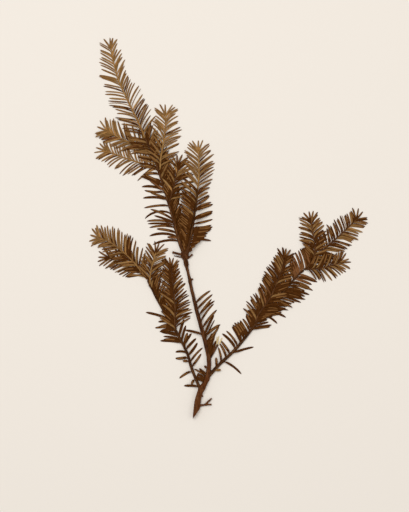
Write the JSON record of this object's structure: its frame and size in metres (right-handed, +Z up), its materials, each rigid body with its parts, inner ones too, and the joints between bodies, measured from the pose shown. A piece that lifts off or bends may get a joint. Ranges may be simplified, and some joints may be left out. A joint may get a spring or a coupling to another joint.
{
  "type": "cut yew branch",
  "caption": "Pressed, dried cut branch of a low evergreen yew lying flat: a forked tapering stem with two boughs and flat two-sided shoots of narrow pointed needles.",
  "frame": {"origin": "centre of the bounding box's underside, on the surface that the branch lies on", "axes": "+Y along the branch from the cut end towards the leader's tip, +X to the right seen from above, +Z up out of the surface"},
  "size_m": [0.2378, 0.3202, 0.006],
  "materials": {
    "bark": "matt",
    "old_needles": "satin",
    "young_needles": "satin"
  },
  "bodies": {
    "root": {"inner_shoot": "young_needles", "leader_lower": "young_needles", "leader_tip": "young_needles", "left_bough": "bark", "left_bough_inner_needles": "old_needles", "left_bough_lower_needles": "old_needles", "left_bough_middle_shoot": "young_needles", "left_bough_outer_needles": "old_needles", "left_bough_side_shoot": "young_needles", "left_bough_tip": "young_needles", "left_bough_upper_shoot": "young_needles", "lower_left_shoot": "young_needles", "main_stem": "bark", "right_bough": "bark", "right_bough_foot_needles": "old_needles", "right_bough_inner_needles": "old_needles", "right_bough_inner_shoot": "young_needles", "right_bough_lower_needles": "old_needles", "right_bough_outer_needles": "old_needles", "right_bough_side_shoot": "young_needles", "right_bough_tip": "young_needles", "right_bough_upper_shoot": "young_needles", "right_leader_lower": "young_needles", "right_leader_tip": "young_needles", "stem_left_needles": "old_needles", "stem_right_needles": "old_needles", "upper_left_shoot": "young_needles", "upper_right_shoot": "young_needles"}
  },
  "joints": []
}
